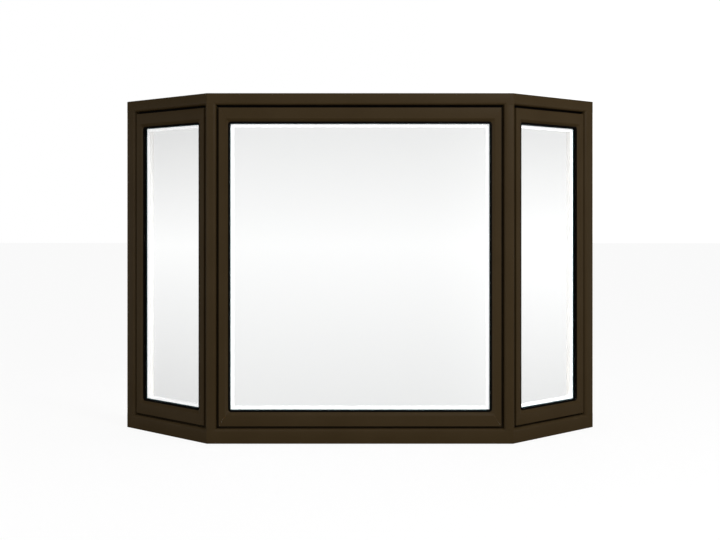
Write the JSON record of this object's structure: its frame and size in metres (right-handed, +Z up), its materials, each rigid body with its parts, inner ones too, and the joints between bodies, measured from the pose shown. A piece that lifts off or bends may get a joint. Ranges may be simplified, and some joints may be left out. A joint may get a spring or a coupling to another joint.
{
  "type": "bay window",
  "caption": "Three-panel bay window with a wide fixed centre light and angled side lights, dark bronze outside and white inside, with double glazing and head, seat and jamb boards.",
  "frame": {"origin": "centre of the unit's bounding box on its underside", "axes": "+X along the width, -Y out of the building, +Y into the room, +Z up"},
  "size_m": [1.8172, 0.5282, 1.27],
  "materials": {
    "bronze_frame": "satin dark bronze",
    "white_inside": "satin white paint",
    "board": "clear-finished veneer",
    "glazing": "clear",
    "spacer": "matte white",
    "gasket": "black matte"
  },
  "bodies": {
    "root": {"head_frame_center": "bronze_frame", "head_frame_left": "bronze_frame", "head_frame_right": "bronze_frame", "sill_frame_center": "bronze_frame", "sill_frame_left": "bronze_frame", "sill_frame_right": "bronze_frame", "mullion_left": "bronze_frame", "mullion_right": "bronze_frame", "end_jamb_left": "bronze_frame", "end_jamb_right": "bronze_frame", "wall_block_left": "board", "wall_block_right": "board", "jamb_board_left": "board", "jamb_board_right": "board", "head_board": "board", "seat_board": "board", "center_top_rail": "bronze_frame", "center_bottom_rail": "bronze_frame", "center_left_stile": "bronze_frame", "center_right_stile": "bronze_frame", "left_top_rail": "bronze_frame", "left_bottom_rail": "bronze_frame", "left_inner_stile": "bronze_frame", "left_outer_stile": "bronze_frame", "right_top_rail": "bronze_frame", "right_bottom_rail": "bronze_frame", "right_inner_stile": "bronze_frame", "right_outer_stile": "bronze_frame", "center_glass": "glazing", "left_glass": "glazing", "right_glass": "glazing", "center_spacer": "spacer", "left_spacer": "spacer", "right_spacer": "spacer", "center_gasket": "gasket", "left_gasket": "gasket", "right_gasket": "gasket", "center_bead": "white_inside", "left_bead": "white_inside", "right_bead": "white_inside", "center_seal": "gasket", "left_seal": "gasket", "right_seal": "gasket"}
  },
  "joints": []
}
